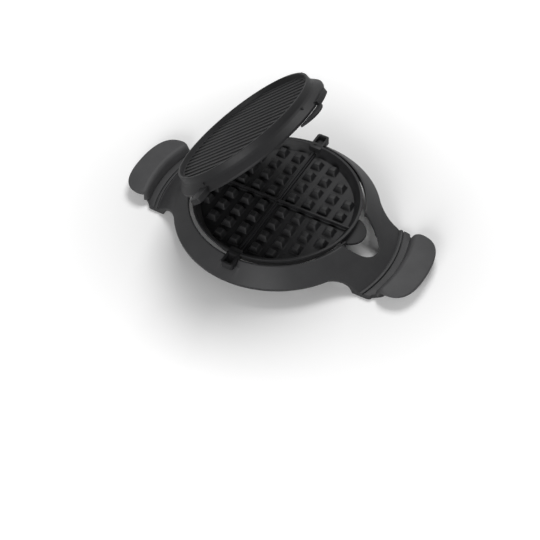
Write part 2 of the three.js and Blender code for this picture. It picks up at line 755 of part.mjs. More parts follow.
for (const [side, turn] of [['right', 0], ['left', Math.PI]]) {
  const handle = new THREE.Group();
  handle.rotation.z = turn;
  iron.add(handle);
  add(handle, `${side}_grip`, grip(), 'grip');
  screwPlaces().forEach(([x, y], k) => {
    add(handle, `${side}_grip_screw_${k + 1}`, gripScrew(), 'steel').position.set(x, y, 0);
    add(handle, `${side}_grip_washer_${k + 1}`, gripWasher(), 'steel').position.set(x, y, 0);
  });
}

const plates = new THREE.Group();
plates.position.z = partingHeight;
iron.add(plates);
add(plates, 'lower_plate', lowerPlate(), 'plate');

const hinge = new THREE.Group();
hinge.position.set(-hingeReach, 0, -hingeDrop);
plates.add(hinge);
add(hinge, 'hinge_pin', hingePin(), 'steel');
add(hinge, 'hinge_clip', hingeClip(), 'steel');
add(hinge, 'hinge_washer_head', hingeWasher(), 'steel');
add(hinge, 'hinge_washer_clip', hingeWasher(), 'steel').rotation.z = Math.PI;

const lid = new THREE.Group();
lid.rotation.y = -lidRestAngle;
hinge.add(lid);
add(lid, 'upper_plate', upperPlate(), 'plate').position.set(hingeReach, 0, hingeDrop);

export default iron;
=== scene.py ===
"""Waffle and sandwich iron on a pale studio floor.

Lengths are written in millimetres and turned to metres where they are used. The handles lie
along X, with the hinge at -X and the lift tabs at +X, and the surface it stands on is z = 0.
"""

import bmesh
import bpy
import math
from mathutils import Matrix, Vector


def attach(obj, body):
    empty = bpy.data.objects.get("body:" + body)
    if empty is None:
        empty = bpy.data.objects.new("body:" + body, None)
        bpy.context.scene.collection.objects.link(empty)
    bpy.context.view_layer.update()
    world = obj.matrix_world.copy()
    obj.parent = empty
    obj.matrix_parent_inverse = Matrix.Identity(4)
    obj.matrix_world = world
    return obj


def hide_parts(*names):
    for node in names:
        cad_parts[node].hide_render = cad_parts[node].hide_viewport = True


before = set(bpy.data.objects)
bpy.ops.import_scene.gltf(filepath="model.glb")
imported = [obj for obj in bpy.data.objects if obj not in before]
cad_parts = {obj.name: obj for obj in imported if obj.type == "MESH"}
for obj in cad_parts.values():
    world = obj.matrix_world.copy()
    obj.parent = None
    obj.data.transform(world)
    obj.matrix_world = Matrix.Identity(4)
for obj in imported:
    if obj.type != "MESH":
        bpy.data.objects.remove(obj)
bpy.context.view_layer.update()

# Sizes of the iron
CAVITY = 107.0          # radius where the cross ribs end
PLATE = 113.5           # radius of a plate where the two plates meet
PLATE_DEPTH = 22.3      # one plate, over both faces
OPENING = 117.7         # radius of the hole in the carrier ring
RING = 139.8            # radius of the carrier ring
RIDGE = 168.5           # radius of the raised ridge between neck and handle
REACH = 221.0           # middle of the ring to the tip of a grip
PARTING = 51.8          # plane where the plates meet
OPENING_TOP = 47.6
EDGE_TOP = 26.6         # upper edge of the ring's outer rim
HINGE_X = -131.5
HINGE_Z = 49.2
HINGE_DROP = 2.6        # hinge axis below the parting plane
HEEL_LEAN = 28          # degrees
REST_ANGLE = 42.6       # how far the lid stands open
SEAT = 0.3              # gap between pieces that rest on each other

ROUND_STEPS = 180       # facets round the ring and the plates
TAB_STEPS = 96          # facets round a lift tab
SMALL_STEPS = 48        # facets round pins, eyes and screws


def mm(length):
    """Millimetres as Blender's metres."""
    return length / 1000.0


def place(x, y, z):
    """A point given in millimetres."""
    return Vector((mm(x), mm(y), mm(z)))


# Outlines

def softened(corners, steps=5):
    """Points of an outline whose corners (a, b, radius) are rounded to arcs."""
    points = []
    for k, (a, b, radius) in enumerate(corners):
        here = Vector((a, b))
        if radius == 0:
            points.append(here)
            continue
        before = (Vector(corners[k - 1][:2]) - here).normalized()
        after = (Vector(corners[(k + 1) % len(corners)][:2]) - here).normalized()
        half = before.angle(after) / 2
        room = min((Vector(corners[k - 1][:2]) - here).length,
                   (Vector(corners[(k + 1) % len(corners)][:2]) - here).length)
        radius = min(radius, 0.48 * room * math.tan(half))
        middle = here + (before + after).normalized() * (radius / math.sin(half))
        start = here + before * (radius / math.tan(half)) - middle
        end = here + after * (radius / math.tan(half)) - middle
        sweep = start.angle_signed(end)
        for i in range(steps + 1):
            turn = -sweep * i / steps
            points.append(middle + Matrix.Rotation(turn, 2) @ start)
    return points


def curve_points(a, b, c, d, steps):
    """Points along a Bezier curve."""
    a, b, c, d = (Vector(p) for p in (a, b, c, d))
    shares = [i / steps for i in range(steps + 1)]
    return [a * (1 - t) ** 3 + b * 3 * t * (1 - t) ** 2 + c * 3 * t ** 2 * (1 - t) + d * t ** 3
            for t in shares]


# Modelling by hand

def rest_tools():
    """Back to object mode with nothing selected."""
    if bpy.context.mode != "OBJECT":
        bpy.ops.object.mode_set(mode="OBJECT")
    bpy.ops.object.select_all(action="DESELECT")


def edit(piece):
    """Opens the piece's mesh for editing."""
    rest_tools()
    piece.select_set(True)
    bpy.context.view_layer.objects.active = piece
    bpy.ops.object.mode_set(mode="EDIT")


def pick(kind, test):
    """Selects the edit mesh's VERT, EDGE or FACE parts whose middle, in millimetres, passes a test."""
    bpy.ops.mesh.select_mode(type=kind)
    bpy.ops.mesh.select_all(action="DESELECT")
    piece = bpy.context.edit_object
    mesh = bmesh.from_edit_mesh(piece.data)
    for part in {"VERT": mesh.verts, "EDGE": mesh.edges, "FACE": mesh.faces}[kind]:
        corners = [part] if kind == "VERT" else part.verts
        middle = sum((piece.matrix_world @ v.co for v in corners), Vector()) / len(corners)
        if test(part, middle * 1000):
            part.select_set(True)
    mesh.select_flush_mode()
    bmesh.update_edit_mesh(piece.data)


def settled(piece):
    """Puts the piece's place into its mesh."""
    rest_tools()
    piece.select_set(True)
    bpy.context.view_layer.objects.active = piece
    bpy.ops.object.transform_apply(location=True, rotation=True, scale=True)
    rest_tools()
    return piece


def drawn(name, points, closed=True, filled=False):
    """A chain of edges drawn point by point from one vertex."""
    points = [place(*p) for p in points]
    rest_tools()
    bpy.ops.mesh.primitive_plane_add(size=mm(1), location=points[0])
    piece = bpy.context.active_object
    piece.name = name
    bpy.ops.object.mode_set(mode="EDIT")
    bpy.ops.mesh.select_mode(type="VERT")
    bpy.ops.mesh.merge(type="CENTER")
    for start, end in zip(points, points[1:]):
        bpy.ops.mesh.extrude_region_move(TRANSFORM_OT_translate={"value": end - start})
    if closed:
        ends = [points[0] * 1000, points[-1] * 1000]
        pick("VERT", lambda part, at: min((at - end).length for end in ends) < 1e-3)
        bpy.ops.mesh.edge_face_add()
    bpy.ops.mesh.select_all(action="SELECT")
    if filled:
        bpy.ops.mesh.edge_face_add()
    return piece


def tidied():
    """Merges doubles, closes open ends and turns the faces outwards, in edit mode."""
    bpy.ops.mesh.select_mode(type="VERT")
    bpy.ops.mesh.select_all(action="SELECT")
    bpy.ops.mesh.remove_doubles(threshold=mm(0.01))
    bpy.ops.mesh.fill_holes(sides=0)
    bpy.ops.mesh.select_all(action="SELECT")
    bpy.ops.mesh.normals_make_consistent(inside=False)


def turned(name, section, steps=ROUND_STEPS):
    """A section of (radius, height) points spun about Z. It closes on itself or ends on the axis."""
    on_axis = section[0][0] == 0 and section[-1][0] == 0
    drawn(name, [(r, 0, z) for r, z in section], closed=not on_axis)
    bpy.ops.mesh.spin(steps=steps, angle=math.tau, center=(0, 0, 0), axis=(0, 0, 1))
    tidied()
    return settled(bpy.context.active_object)


def arc_wall(name, section, span, steps=24):
    """A closed section of (radius, height) points spun over part of a turn, about +X."""
    half = math.radians(span) / 2
    drawn(name, [(r, 0, z) for r, z in section])
    bpy.ops.transform.rotate(value=half, orient_axis="Z", center_override=(0, 0, 0))
    bpy.ops.mesh.spin(steps=steps, angle=2 * half, center=(0, 0, 0), axis=(0, 0, 1))
    tidied()
    return settled(bpy.context.active_object)


def slab(name, outline, low, high):
    """A flat outline of (x, y) points raised between two heights."""
    drawn(name, [(x, y, low) for x, y in outline], filled=True)
    bpy.ops.mesh.extrude_region_move(TRANSFORM_OT_translate={"value": place(0, 0, high - low)})
    tidied()
    return settled(bpy.context.active_object)


def block(name, low, high, soft=0.5, segments=2):
    """A cast block between two corners, with its edges rounded."""
    low, high = Vector(low), Vector(high)
    rest_tools()
    bpy.ops.mesh.primitive_cube_add(size=1, location=(low + high) / 2000)
    piece = bpy.context.active_object
    piece.name = name
    bpy.ops.object.mode_set(mode="EDIT")
    bpy.ops.transform.resize(value=(high - low) / 1000)
    if soft:
        bpy.ops.mesh.bevel(offset=mm(soft), segments=segments, affect="EDGES")
    return settled(piece)


def rod(name, radius, y0, y1, x, z, soft=0.4, steps=SMALL_STEPS):
    """A rod along Y with its end edges rounded."""
    rest_tools()
    bpy.ops.mesh.primitive_cylinder_add(
        vertices=steps, radius=mm(radius), depth=mm(y1 - y0), location=place(x, (y0 + y1) / 2, z),
        rotation=(math.pi / 2, 0, 0))
    piece = bpy.context.active_object
    piece.name = name
    bpy.ops.object.mode_set(mode="EDIT")
    if soft:
        pick("FACE", lambda part, at: len(part.verts) > 4)
        bpy.ops.mesh.region_to_loop()
        bpy.ops.mesh.bevel(offset=mm(soft), segments=3, affect="EDGES")
    return settled(piece)


def plug(radius):
    """A tall cylinder about Z, to cut with."""
    rest_tools()
    bpy.ops.mesh.primitive_cylinder_add(vertices=ROUND_STEPS, radius=mm(radius), depth=mm(80))
    return bpy.context.active_object


def with_modifier(piece, kind, **settings):
    """Adds a modifier to the piece and applies it."""
    rest_tools()
    piece.select_set(True)
    bpy.context.view_layer.objects.active = piece
    modifier = piece.modifiers.new(kind.title(), kind)
    for key, value in settings.items():
        setattr(modifier, key, value)
    bpy.ops.object.modifier_apply(modifier=modifier.name)
    return piece


def combined(piece, other, operation):
    """Boolean of a piece with another one, which is used up."""
    with_modifier(piece, "BOOLEAN", object=other, operation=operation, solver="EXACT")
    bpy.data.objects.remove(other)
    return piece


def softened_edges(piece, width, angle=38, segments=2):
    """Rounds every edge sharper than an angle."""
    edit(piece)
    bpy.ops.mesh.select_all(action="SELECT")
    bpy.ops.mesh.remove_doubles(threshold=mm(0.08))
    rest_tools()
    return with_modifier(
        piece, "BEVEL", width=mm(width), segments=segments, limit_method="ANGLE",
        angle_limit=math.radians(angle), use_clamp_overlap=False, harden_normals=False)


def copy_of(piece, matrix, name=None):
    """A copy with its own mesh, moved by a matrix that is put into the mesh."""
    other = piece.copy()
    other.data = piece.data.copy()
    bpy.context.collection.objects.link(other)
    other.name = name or piece.name
    other.data.transform(matrix)
    if matrix.determinant() < 0:
        other.data.flip_normals()
    return other


def joined(name, pieces):
    """One piece made of several, which touch or sink into each other."""
    rest_tools()
    for piece in pieces:
        piece.select_set(True)
    bpy.context.view_layer.objects.active = pieces[0]
    bpy.ops.object.join()
    pieces[0].name = name
    pieces[0].data.name = name
    return pieces[0]


def finished(piece, body, material, *nodes, slot, angle=32):
    """Shades the piece, gives it its material and its body, and lets it stand for its CAD node."""
    rest_tools()
    piece.select_set(True)
    bpy.context.view_layer.objects.active = piece
    bpy.ops.object.shade_smooth_by_angle(angle=math.radians(angle))
    rest_tools()
    piece.data.materials.clear()
    piece.data.materials.append(material)
    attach(piece, body)
    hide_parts(*nodes)
    return piece


HALF_TURN = Matrix.Rotation(math.pi, 4, "Z")


# Materials

def colour(code):
    """A six-digit sRGB hex colour as Blender's linear one."""
    parts = [int(code[i:i + 2], 16) / 255 for i in (1, 3, 5)]
    return tuple(v / 12.92 if v <= 0.04045 else ((v + 0.055) / 1.055) ** 2.4 for v in parts) + (1.0,)


def add_node(tree, kind, inputs=None, **settings):
    """Adds a node, sets its properties and sets or links its inputs."""
    made = tree.nodes.new(kind)
    for key, value in settings.items():
        setattr(made, key, value)
    for key, value in (inputs or {}).items():
        if isinstance(value, bpy.types.NodeSocket):
            tree.links.new(value, made.inputs[key])
        else:
            made.inputs[key].default_value = value
    return made


def blank(name):
    """A new material with a shader and its output."""
    material = bpy.data.materials.new(name)
    material.use_nodes = True
    tree = material.node_tree
    tree.nodes.clear()
    shader = add_node(tree, "ShaderNodeBsdfPrincipled")
    add_node(tree, "ShaderNodeOutputMaterial", {"Surface": shader.outputs["BSDF"]})
    return material, tree, shader


def per_metre(size):
    """Scale of a pattern whose spots are this many millimetres across."""
    return 1000.0 / size


def noise(tree, size, detail=2.0, roughness=0.5):
    """Cloudy pattern fixed to the piece, with spots of a size in millimetres."""
    where = add_node(tree, "ShaderNodeTexCoord")
    return add_node(
        tree, "ShaderNodeTexNoise",
        {"Vector": where.outputs["Object"], "Scale": per_metre(size), "Detail": detail,
         "Roughness": roughness})


def spread(tree, source, low, high):
    """Maps a pattern's middle range onto the range from low to high."""
    ranged = add_node(
        tree, "ShaderNodeMapRange",
        {"Value": source, "From Min": 0.3, "From Max": 0.7, "To Min": low, "To Max": high})
    return ranged.outputs["Result"]


def two_tone(tree, source, first, second):
    mixed = add_node(tree, "ShaderNodeMix", {"Factor": source}, data_type="RGBA")
    colours = [socket for socket in mixed.inputs if socket.type == "RGBA"]
    colours[0].default_value = colour(first)
    colours[1].default_value = colour(second)
    return next(socket for socket in mixed.outputs if socket.type == "RGBA")


def cast_enamel(name, light, dark, rough, peel, peel_depth):
    """Matt porcelain enamel fired over cast iron: the glass follows the sand-cast skin as a soft
    orange peel, and is a little glossier where it pooled thicker."""
    material, tree, shader = blank(name)
    clouds = noise(tree, 38.0, detail=3.0)
    skin = noise(tree, peel, detail=4.0, roughness=0.6)
    grit = noise(tree, peel / 4, detail=1.0)
    pooled = spread(tree, clouds.outputs["Fac"], 0.0, 1.0)
    tree.links.new(two_tone(tree, pooled, light, dark), shader.inputs["Base Color"])
    sheen = spread(tree, skin.outputs["Fac"], rough - 0.05, rough + 0.06)
    tree.links.new(sheen, shader.inputs["Roughness"])
    shader.inputs["IOR"].default_value = 1.5
    shader.inputs["Specular IOR Level"].default_value = 0.14
    fine = add_node(
        tree, "ShaderNodeBump",
        {"Height": grit.outputs["Fac"], "Strength": 0.25, "Distance": mm(peel_depth / 2)})
    coarse = add_node(
        tree, "ShaderNodeBump",
        {"Height": skin.outputs["Fac"], "Strength": 0.6, "Distance": mm(peel_depth),
         "Normal": fine.outputs["Normal"]})
    tree.links.new(coarse.outputs["Normal"], shader.inputs["Normal"])
    return material


def moulded_nylon(name, light, dark, rough):
    """Heat-stabilised glass-filled nylon, moulded in a spark-eroded tool: an even fine grain that
    scatters the light, with faint flow clouds from the glass."""
    material, tree, shader = blank(name)
    clouds = noise(tree, 24.0, detail=2.0)
    # The real grain is about 0.1 mm; it is drawn coarser so that it still shows
    grain = noise(tree, 0.7, detail=2.0, roughness=0.7)
    flow = spread(tree, clouds.outputs["Fac"], 0.0, 1.0)
    tree.links.new(two_tone(tree, flow, light, dark), shader.inputs["Base Color"])
    sheen = spread(tree, grain.outputs["Fac"], rough - 0.04, rough + 0.07)
    tree.links.new(sheen, shader.inputs["Roughness"])
    shader.inputs["IOR"].default_value = 1.53
    shader.inputs["Specular IOR Level"].default_value = 0.18
    bump = add_node(
        tree, "ShaderNodeBump",
        {"Height": grain.outputs["Fac"], "Strength": 0.35, "Distance": mm(0.05)})
    tree.links.new(bump.outputs["Normal"], shader.inputs["Normal"])
    return material


def zinc_plated(name, light, dark):
    """Turned steel with bright zinc plating: fine turning lines and a slightly cloudy shine."""
    material, tree, shader = blank(name)
    clouds = noise(tree, 3.0, detail=3.0)
    lines = noise(tree, 0.35, detail=1.0)
    cloudy = spread(tree, clouds.outputs["Fac"], 0.0, 1.0)
    tree.links.new(two_tone(tree, cloudy, light, dark), shader.inputs["Base Color"])
    tree.links.new(spread(tree, lines.outputs["Fac"], 0.24, 0.38), shader.inputs["Roughness"])
    shader.inputs["Metallic"].default_value = 1.0
    bump = add_node(
        tree, "ShaderNodeBump",
        {"Height": lines.outputs["Fac"], "Strength": 0.2, "Distance": mm(0.02)})
    tree.links.new(bump.outputs["Normal"], shader.inputs["Normal"])
    return material


carrier_enamel = cast_enamel("carrier_matt_enamel", "#373738", "#313132", 0.42, 1.6, 0.05)
plate_enamel = cast_enamel("plate_matt_enamel", "#232324", "#1e1e1f", 0.46, 1.3, 0.05)
grip_nylon = moulded_nylon("grip_moulded_nylon", "#434344", "#3d3d3e", 0.52)
bright_zinc = zinc_plated("zinc_plated_steel", "#b4b6b8", "#9c9ea1")


# Carrier ring

BAND_REACH = 189.0
BAND_TOP = 6.9
BAND_TUCK = 9.0         # how much narrower the band gets under the grip, on each side
RIDGE_TOP = 7.7
RIDGE_WIDTH = 4.0
GROOVE_FLOOR = 5.2
FOOT_IN = 157.5
COLLAR_WALL = 3.8
COLLAR_DEPTH = 7.9
RIM_UNDER = 22.4        # lower edge of the ring's outer rim
NECK_TOP = 15.0         # upper face of the neck, halfway between ring and ridge
NECK_UNDER = 10.0
TANG_THICKNESS = 3.4
TANG_SETBACK = 6.5      # behind the foot of a grip's inner wall
NECK_HALF = 62.5
FLARE_HALF = 78.0
FLARE_LENGTH = 29.0
BAND_HALF = 58.0
BAND_END_HALF = 51.0
GRIP_ROOT = 180.0
GRIP_HALF = 58.0
OVERHANG = 12.0         # how far a grip's rim stands out past its core
SCREW_X = 199.5
SCREW_Y = 24.4


def carrier_section():
    """Section of ring, neck, ridge, groove and band."""
    ridge_in, ridge_out = RIDGE - RIDGE_WIDTH / 2, RIDGE + RIDGE_WIDTH / 2
    middle = (RING + ridge_in) / 2
    collar = OPENING + COLLAR_WALL
    return softened([
        (OPENING, OPENING_TOP, 0.7),
        (OPENING + 2.2, OPENING_TOP, 2.2),
        (RING, EDGE_TOP, 30),
        (middle, NECK_TOP, 30),
        (ridge_in - 0.9, 5.4, 5),
        (ridge_in, 5.8, 0.2),
        (ridge_in, RIDGE_TOP, 1.1),
        (ridge_out, RIDGE_TOP, 1.1),
        (ridge_out, GROOVE_FLOOR, 0.3),
        (ridge_out + 1, GROOVE_FLOOR, 0.3),
        (ridge_out + 1, BAND_TOP, 0.5),
        (BAND_REACH, BAND_TOP, 0.4),
        (BAND_REACH, 0, 0.4),
        (FOOT_IN, 0, 1.5),
        (middle, NECK_UNDER, 12),
        (RING, RIM_UNDER, 0.6),
        (RING - 3.8, RIM_UNDER, 0.6),
        (RING - 3.8, RIM_UNDER + 1.8, 0.5),
        (collar, OPENING_TOP - COLLAR_DEPTH, 1),
        (OPENING, OPENING_TOP - COLLAR_DEPTH, 0.7),
    ], steps=4)


def handle_side():
    """Outline of the +X handle at +Y, from the ring out to the end of its band."""
    flare = math.sqrt(RING ** 2 - FLARE_HALF ** 2)
    neck = flare + FLARE_LENGTH
    band = RIDGE + RIDGE_WIDTH / 2
    points = curve_points(
        (flare, FLARE_HALF), (flare + FLARE_LENGTH / 3, FLARE_HALF - 10.3),
        (neck - FLARE_LENGTH / 3, NECK_HALF), (neck, NECK_HALF), 16)
    points += curve_points(
        (160, NECK_HALF), (160 + 7, NECK_HALF), (band, BAND_HALF + 3.7), (band, BAND_HALF), 8)
    end = Vector((BAND_REACH - 0.2, BAND_END_HALF - BAND_TUCK))
    return points + [Vector((GRIP_ROOT, BAND_END_HALF)), end]


def carrier_outline():
    """The whole outline seen from above: two handles and the ring between them."""
    side = handle_side()
    mirrored = [Vector((p.x, -p.y)) for p in side]
    start = math.atan2(side[0].y, side[0].x)
    steps = 48
    near = [start + (math.pi - 2 * start) * i / steps for i in range(1, steps)]
    arc = [Vector((RING * math.cos(a), RING * math.sin(a))) for a in near]
    left = [Vector((-p.x, p.y)) for p in side]
    left_mirrored = [Vector((-p.x, -p.y)) for p in side]
    far = [Vector((-p.x, -p.y)) for p in arc]
    return side[::-1] + arc + left + left_mirrored[::-1] + far + mirrored


def finger_hole():
    """Egg-shaped hole in front of the lift tab."""
    start, reach, half = OPENING - COLLAR_WALL, 148.5, 33.0
    middle = (start + reach) / 2
    side = curve_points((start, half), (middle, 28), (reach, 16), (reach, 0), 20)
    outline = side + [Vector((p.x, -p.y)) for p in side[-2::-1]]
    return slab("finger_hole", outline, -2, OPENING_TOP + 2)


# Lugs of the plates, and the notches in the ring that cradle them
LUG_WIDTH = 17.5
LUG_REACH = 134.5
LUG_DEPTH = 10.5
LID_LUG_DEPTH = 7.5
NOTCH_PLAY = 0.6        # on each side of a lug
CRADLE_WALL = 4.2
CRADLE_FLOOR = 4.6

SCREW_HOLE = 2.3        # radius
GRIP_CORNER = 7.0       # corner between a grip's inner wall and its side
GRIP_FLANK = REACH - 12.5  # where the straight side goes over into the round tip
GRIP_NOSE = 44.1        # how full the tip is: the bow's handle at each side


def grip_outline(inset, arc_inset, fine=14):
    """Outline of a grip: an arc about the ring's middle, soft corners and a full round tip."""
    root, half, tip = GRIP_ROOT + arc_inset, GRIP_HALF - inset, REACH - inset
    knee_y = half - GRIP_CORNER
    knee = Vector((math.sqrt((root + GRIP_CORNER) ** 2 - knee_y ** 2), knee_y))
    turn = math.atan2(knee.y, knee.x)
    turns = [turn * k / fine for k in range(fine)]
    points = [root * Vector((math.cos(a), math.sin(a))) for a in turns]
    start = math.pi + turn
    bends = [start + (math.pi / 2 - start) * k / 8 for k in range(9)]
    points += [knee + GRIP_CORNER * Vector((math.cos(a), math.sin(a))) for a in bends]
    tip_bow = curve_points((knee.x, half), (GRIP_FLANK, half), (tip, GRIP_NOSE - inset), (tip, 0), 26)
    points += tip_bow[1:]
    return points + [Vector((p.x, -p.y)) for p in points[-2:0:-1]]


def make_carrier():
    """The casting: ring, necks and bands cut from one turned body, and the tangs in the grips."""
    body = turned("carrier", carrier_section())
    combined(body, slab("outline", carrier_outline(), -2, OPENING_TOP + 2), "INTERSECT")
    half = LUG_WIDTH / 2 + NOTCH_PLAY
    lug_floor = PARTING - LUG_DEPTH - SEAT
    cradle_half = half + CRADLE_WALL
    for turn in (Matrix.Identity(4), HALF_TURN):
        cradle = block("cradle", (-cradle_half, OPENING - 0.1, lug_floor - CRADLE_FLOOR),
                       (cradle_half, OPENING + 8, lug_floor + 0.6), soft=0)
        cradle.data.transform(turn)
        combined(body, cradle, "UNION")
        notch = block("notch", (-half, OPENING - 4, lug_floor),
                      (half, LUG_REACH + 2, OPENING_TOP + 2), soft=0)
        notch.data.transform(turn)
        combined(body, notch, "DIFFERENCE")
        hole = finger_hole()
        hole.data.transform(turn)
        combined(body, hole, "DIFFERENCE")
    softened_edges(body, 0.6)
    edit(body)
    pick("VERT", lambda part, at: at.z < 0)
    bpy.ops.transform.resize(value=(1, 1, 0), center_override=(0, 0, 0))
    tangs = []
    for turn in (Matrix.Identity(4), HALF_TURN):
        tang = slab("tang", grip_outline(OVERHANG, TANG_SETBACK), BAND_TOP - TANG_THICKNESS, BAND_TOP)
        for y in (-SCREW_Y, SCREW_Y):
            rest_tools()
            bpy.ops.mesh.primitive_cylinder_add(
                vertices=SMALL_STEPS, radius=mm(SCREW_HOLE), depth=mm(12),
                location=place(SCREW_X, y, 5))
            combined(tang, bpy.context.active_object, "DIFFERENCE")
        softened_edges(tang, 0.4)
        tang.data.transform(turn)
        tangs.append(tang)
    return joined("carrier", [body] + tangs)


# Grips

GRIP_FOOT = BAND_TOP + SEAT
GRIP_HEIGHT = 15.5
GRIP_LEAN = 5.0
GRIP_FALL = 3.4         # how much lower the tip is than the inner wall
GRIP_CROWN = 2.5        # how much lower the two ends are than the middle
GRIP_ROUND = 6.0        # radius of the upper edge over the inner wall
GRIP_RIM = 2.0          # radius of the upper edge along the sides and the tip
LIP = 3.6               # rim that stands free for the fingers
GRIP_WALL = 3.0
CORE_TOP = 13.8         # top of the hollow under the core


def grip_level(inset, arc_inset, share, height):
    """Outline of a grip at a height, lower towards the tip and the ends."""
    points = []
    for p in grip_outline(inset, arc_inset + GRIP_LEAN * share):
        along = max(0.0, (p.x - GRIP_ROOT) / (REACH - GRIP_ROOT))
        drop = GRIP_FALL * along + GRIP_CROWN * (p.y / GRIP_HALF) ** 2
        points.append((p.x, p.y, GRIP_FOOT + height - drop * share))
    return points


def bridged(name, loops):
    """Drawn loops bridged to a body. Its ends are cut into strips, so that they follow the bow."""
    count = len(loops[0])
    body = joined(name, [settled(drawn(name, loop)) for loop in loops])
    edit(body)
    for k in range(len(loops) - 1):
        pick("VERT", lambda part, at: k * count <= part.index < (k + 2) * count)
        bpy.ops.mesh.bridge_edge_loops()
    for first in (0, (len(loops) - 1) * count):
        pick("VERT", lambda part, at: first <= part.index < first + count)
        bpy.ops.mesh.edge_face_add()
    for y in range(-56, 57, 4):
        bpy.ops.mesh.select_all(action="SELECT")
        bpy.ops.mesh.bisect(plane_co=place(0, y, 0), plane_no=(0, 1, 0))
    tidied()
    return settled(body)


def round_inset(radius, below):
    """Inset of a rounded upper edge at a distance below the top."""
    return radius - math.sqrt(radius ** 2 - max(0.0, radius - below) ** 2)


def make_grip():
    """Moulded grip: an inner wall, a bowed rim for the fingers and a hollow core."""
    levels = [grip_level(0.6, 0.6, 0, 0), grip_level(0, 0, 0, 0.6)]
    for k in range(13):
        below = GRIP_ROUND * (1 - math.sin(math.pi / 2 * k / 12))
        height = GRIP_HEIGHT - below
        levels.append(grip_level(
            round_inset(GRIP_RIM, below), round_inset(GRIP_ROUND, below), height / GRIP_HEIGHT, height))
    grip = bridged("grip", levels)
    room = bridged("finger_room", [grip_level(-2, -2, 0, -2), grip_level(-2, -2, 1, GRIP_HEIGHT - LIP)])
    combined(room, slab("core", grip_outline(OVERHANG, 0), 0, 30), "DIFFERENCE")
    combined(room, plug(GRIP_ROOT + GRIP_LEAN + GRIP_WALL), "DIFFERENCE")
    combined(grip, room, "DIFFERENCE")
    hollow = slab("hollow", grip_outline(OVERHANG + GRIP_WALL, GRIP_WALL + GRIP_LEAN), 0, CORE_TOP)
    combined(grip, hollow, "DIFFERENCE")
    return softened_edges(grip, 0.5, angle=42)


# Plates, made with the waffle face up at z = 0

WAFFLE_DEPTH = 12.2
WEB = 3.4
STUD_DROP = 4.6
RIB_DROP = 5.8
SHELF_DROP = 9.2
RIB_HALF = 1.2
SHELF_HALF = 3.2
SHELF_REACH = 104.0
WAIST = 104.4
RIM_IN = 100.4
STUD_PITCH = 23.6
FIRST_STUD = 15.0
STUD_BASE = 14.2
STUD_TOP = 8.8
SANDWICH_FLOOR = -WAFFLE_DEPTH - WEB


def plate_shell():
    """The round dish that both faces share, spun from its section."""
    return turned("plate_shell", softened([
        (0, -WAFFLE_DEPTH, 0),
        (102.6, -WAFFLE_DEPTH, 1.6),
        (CAVITY, -RIB_DROP, 2),
        (PLATE - 3.6, -SEAT / 2, 0.5),
        (PLATE, -SEAT / 2, 0.7),
        (PLATE, -3.2, 0.8),
        (106.2, -10.4, 5),
        (WAIST, -14, 5),
        (103.4, -PLATE_DEPTH, 0.8),
        (RIM_IN, -PLATE_DEPTH, 0.7),
        (RIM_IN - 1.4, SANDWICH_FLOOR, 1.2),
        (0, SANDWICH_FLOOR, 0),
    ], steps=4))


def stud():
    """One square stud with soft edges and a fillet that runs out into the floor."""
    height = WAFFLE_DEPTH - STUD_DROP
    rest_tools()
    bpy.ops.mesh.primitive_cube_add(size=1, location=place(0, 0, -WAFFLE_DEPTH + height / 2))
    bpy.ops.object.mode_set(mode="EDIT")
    bpy.ops.transform.resize(value=(mm(STUD_BASE), mm(STUD_BASE), mm(height)))
    pick("FACE", lambda part, at: part.normal.z > 0.9)
    bpy.ops.transform.resize(value=(STUD_TOP / STUD_BASE, STUD_TOP / STUD_BASE, 1))
    pick("EDGE", lambda part, at: at.z > -WAFFLE_DEPTH + 0.1)
    bpy.ops.mesh.bevel(offset=mm(1.0), segments=3, affect="EDGES")
    pick("FACE", lambda part, at: part.normal.z < -0.9)
    bpy.ops.mesh.delete(type="ONLY_FACE")
    pick("VERT", lambda part, at: at.z < -WAFFLE_DEPTH + 0.05)
    bpy.ops.transform.translate(value=place(0, 0, 1.1))
    for drop, grow in ((0.7, 0.35), (0.35, 0.5), (0.13, 0.7)):
        bpy.ops.mesh.extrude_region_move(TRANSFORM_OT_translate={"value": place(0, 0, -drop)})
        share = 1 + 2 * grow / STUD_BASE
        bpy.ops.transform.resize(value=(share, share, 1))
    bpy.ops.mesh.select_all(action="SELECT")
    bpy.ops.mesh.normals_make_consistent(inside=False)
    return settled(bpy.context.active_object)


def studs():
    """Four fields of studs, one in each quarter."""
    first = stud()
    places = [FIRST_STUD + i * STUD_PITCH for i in range(4)]
    spots = [(x, y) for x in places for y in places if math.hypot(x, y) < CAVITY * 0.885]
    copies = [copy_of(first, Matrix.Translation(place(sx * x, sy * y, 0)))
              for x, y in spots for sx in (-1, 1) for sy in (-1, 1)]
    bpy.data.objects.remove(first)
    return copies


def cross_ribs():
    """Thin ribs on a wider shelf, from wall to wall."""
    ribs = []
    for turn in (Matrix.Identity(4), Matrix.Rotation(math.pi / 2, 4, "Z")):
        fin = block("fin", (-CAVITY - 0.9, -RIB_HALF, -WAFFLE_DEPTH),
                    (CAVITY + 0.9, RIB_HALF, -RIB_DROP), soft=0.45)
        shelf = block("shelf", (-SHELF_REACH, -SHELF_HALF, -WAFFLE_DEPTH - 1),
                      (SHELF_REACH, SHELF_HALF, -SHELF_DROP), soft=0.8, segments=3)
        for piece in (fin, shelf):
            piece.data.transform(turn)
            ribs.append(piece)
    return ribs


